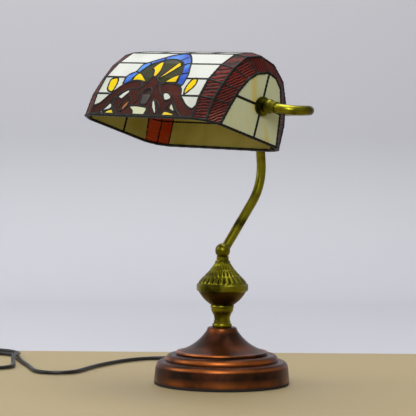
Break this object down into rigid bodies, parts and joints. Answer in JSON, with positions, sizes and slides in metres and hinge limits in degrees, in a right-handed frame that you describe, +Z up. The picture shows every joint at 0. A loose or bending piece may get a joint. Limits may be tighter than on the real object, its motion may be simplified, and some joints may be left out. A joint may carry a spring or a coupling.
{
  "type": "desk lamp",
  "caption": "Desk lamp with a spun bronze base, turned brass stem, hooked brass arm and a tilting barrel shade of leaded art glass",
  "frame": {"origin": "centre of the foot pad on the surface that the lamp stands on", "axes": "+Z up; +X along the shade's tilt axis towards the arm's hook; -Y towards the user, where the shade opens"},
  "size_m": [0.6532, 0.3321, 0.3912],
  "materials": {
    "base_bronze": "dark brown bronze lacquer rubbed back to orange copper on the high edges",
    "pad_black": "matt black rubber",
    "steel_plate": "plain zinc-plated steel",
    "antique_brass": "aged yellow brass, satin, dark in the recesses",
    "socket_brass": "bright rolled brass",
    "socket_liner_card": "dull brown insulating liner",
    "bulb_glass": "frosted tube glass",
    "art_glass_front": "mottled art glass in amber, olive, blue and red brown",
    "opal_glass": "white opal glass, smooth and glossy",
    "cream_glass": "cream glass with amber streaks, glossy",
    "lead_came": "dark patinated solder, slightly beaded",
    "cord_black": "satin black round flex",
    "switch_black": "fine textured black plastic",
    "rocker_black": "polished black plastic",
    "blade_steel": "nickel-plated blades"
  },
  "bodies": {
    "stand": {"arm_sleeve": "antique_brass", "arm_tube": "antique_brass", "base_shell": "base_bronze", "base_weight": "steel_plate", "bottom_cover": "steel_plate", "bulb_glass": "bulb_glass", "bulb_screw": "socket_brass", "cord_coil": "cord_black", "cord_lamp_side": "cord_black", "cord_tail": "cord_black", "cord_wall_side": "cord_black", "foot_pad": "pad_black", "holder_cap": "antique_brass", "holder_shell": "antique_brass", "inner_seal": "pad_black", "knuckle_ball": "antique_brass", "lock_nut": "steel_plate", "outer_seal": "pad_black", "pivot_nipple": "steel_plate", "plug_blade_left": "blade_steel", "plug_blade_right": "blade_steel", "plug_body": "switch_black", "rod_nut": "steel_plate", "rod_spacer": "steel_plate", "rod_washer": "steel_plate", "socket_liner": "socket_liner_card", "socket_sleeve": "socket_brass", "stem_ball": "antique_brass", "stem_belt": "antique_brass", "stem_bowl": "antique_brass", "stem_dome": "antique_brass", "stem_foot": "antique_brass", "stem_neck": "antique_brass", "stepped_ring": "antique_brass", "strain_relief": "cord_black", "switch_base": "switch_black", "switch_cover": "switch_black", "threaded_rod": "steel_plate"},
    "shade": {"back_row_1": "opal_glass", "back_row_2": "opal_glass", "back_row_3": "opal_glass", "back_row_4": "opal_glass", "crest_row_1": "opal_glass", "crest_row_2": "opal_glass", "front_row_1": "art_glass_front", "front_row_2": "art_glass_front", "front_row_3": "art_glass_front", "front_row_4": "art_glass_front", "border_left_back": "opal_glass", "border_left_crest": "opal_glass", "border_left_front": "opal_glass", "border_right_back": "opal_glass", "border_right_crest": "opal_glass", "border_right_front": "opal_glass", "end_glass_left": "cream_glass", "end_glass_right": "cream_glass", "lead_frame": "lead_came", "rim_channel": "lead_came"},
    "rocker": {"switch_rocker": "rocker_black"}
  },
  "joints": [
    {"name": "shade_tilt", "type": "hinge", "parent": "stand", "child": "shade", "pos_m": [0.117, -0.04715, 0.3304], "axis": [-1, 0, 0], "range_deg": [-18, 25]},
    {"name": "switch_rock", "type": "hinge", "parent": "stand", "child": "rocker", "pos_m": [-0.45675, -0.07498, 0.0135], "axis": [0.8387, -0.5446, 0], "range_deg": [-14, 0]}
  ]
}
